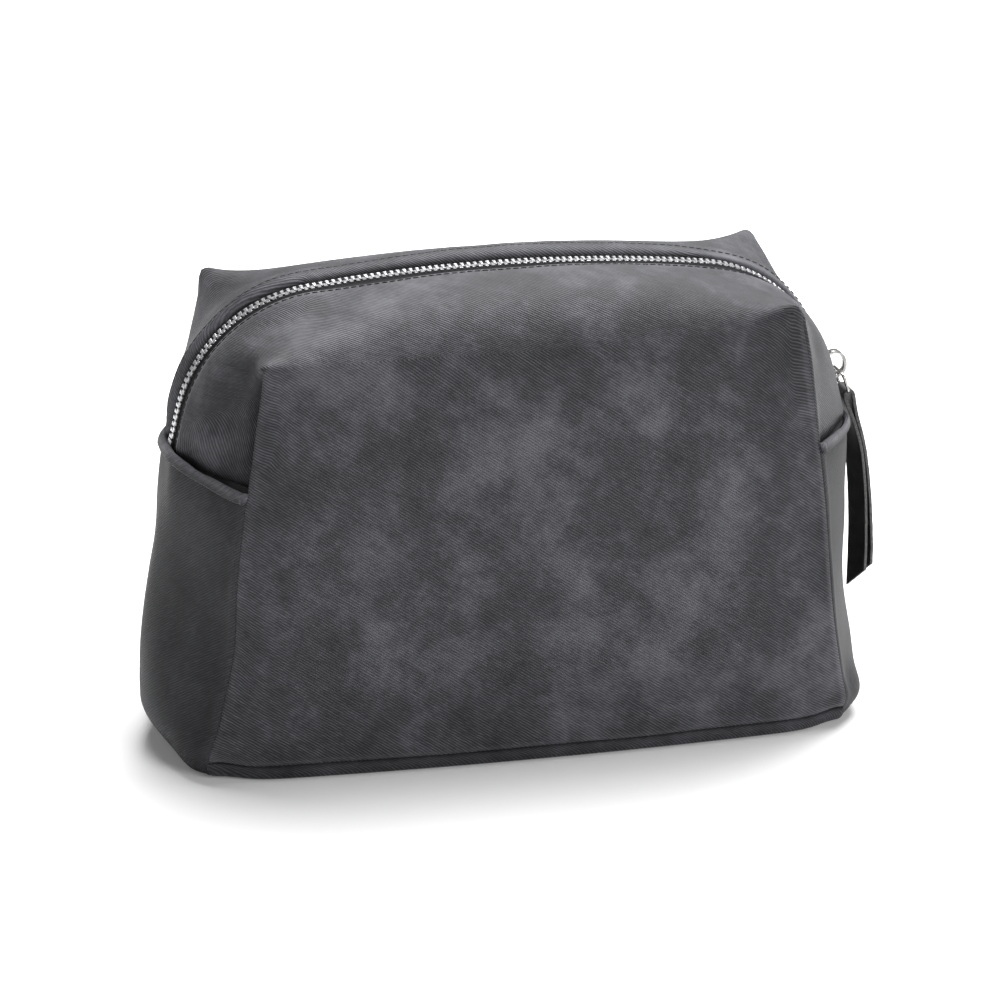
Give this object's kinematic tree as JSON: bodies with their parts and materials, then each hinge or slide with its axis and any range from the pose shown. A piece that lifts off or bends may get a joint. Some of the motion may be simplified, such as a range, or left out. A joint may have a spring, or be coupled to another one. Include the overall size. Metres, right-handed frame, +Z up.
{
  "type": "shaving kit bag",
  "caption": "Soft boxy shaving kit bag of dark coated twill with a curved metal zip over the top, a hooked slider with a wire ring and a folded leather pull.",
  "frame": {"origin": "on the floor under the middle of the bag, on the flat underside of its base cloth", "axes": "+X to the end of the bag that the zip pull hangs on, along its length, +Y towards the back panel, +Z up; the front panel faces -Y"},
  "size_m": [0.2922, 0.116, 0.1838],
  "materials": {
    "twill": "dark grey coated cotton twill, cloudy and slightly waxy",
    "side_twill": "dark grey coated cotton twill, in shade",
    "lining": "thin woven nylon lining, matte",
    "board": "grey fibre board",
    "tape": "black woven zip tape",
    "teeth": "bright nickel, lightly brushed by the stamping",
    "slider": "polished nickel",
    "leather": "black vegetable-tanned leather, satin face and rough cut edges"
  },
  "bodies": {
    "bag_base": {"front_panel_lower": "twill", "back_panel_lower": "twill", "side_panel_left": "side_twill", "side_panel_right": "side_twill", "base_panel": "side_twill", "base_board": "board", "lining_tub": "lining", "zip_tape_front": "tape", "zip_tape_back": "tape", "zip_teeth_front": "teeth", "zip_teeth_back": "teeth", "top_stop_front": "teeth", "top_stop_back": "teeth", "bottom_stop": "teeth"},
    "front_mouth": {"front_panel_upper": "twill", "lining_front": "lining"},
    "back_mouth": {"back_panel_upper": "twill", "lining_back": "lining"},
    "slider": {"slider_body": "slider"},
    "ring": {"pull_ring": "slider"},
    "pull": {"leather_pull": "leather"}
  },
  "joints": [
    {"name": "front_mouth_opening", "type": "hinge", "parent": "bag_base", "child": "front_mouth", "pos_m": [0, -0.0535, 0.116], "axis": [1, 0, 0], "range_deg": [0, 30], "deforming": ["zip_tape_front", "zip_teeth_front"]},
    {"name": "back_mouth_opening", "type": "hinge", "parent": "bag_base", "child": "back_mouth", "pos_m": [0, 0.0562, 0.116], "axis": [-1, 0, 0], "range_deg": [0, 30], "deforming": ["zip_tape_back", "zip_teeth_back"]},
    {"name": "slider_travel", "type": "hinge", "parent": "bag_base", "child": "slider", "pos_m": [0.07122, 0, 0.11944], "axis": [0, -1, 0], "range_deg": [0, 66]},
    {"name": "ring_swing", "type": "hinge", "parent": "slider", "child": "ring", "pos_m": [0.13397, 0, 0.12968], "axis": [0, -1, 0], "range_deg": [0, 100]},
    {"name": "leather_swing", "type": "hinge", "parent": "ring", "child": "pull", "pos_m": [0.13728, 0, 0.12056], "axis": [0, -1, 0], "range_deg": [0, 100]}
  ]
}
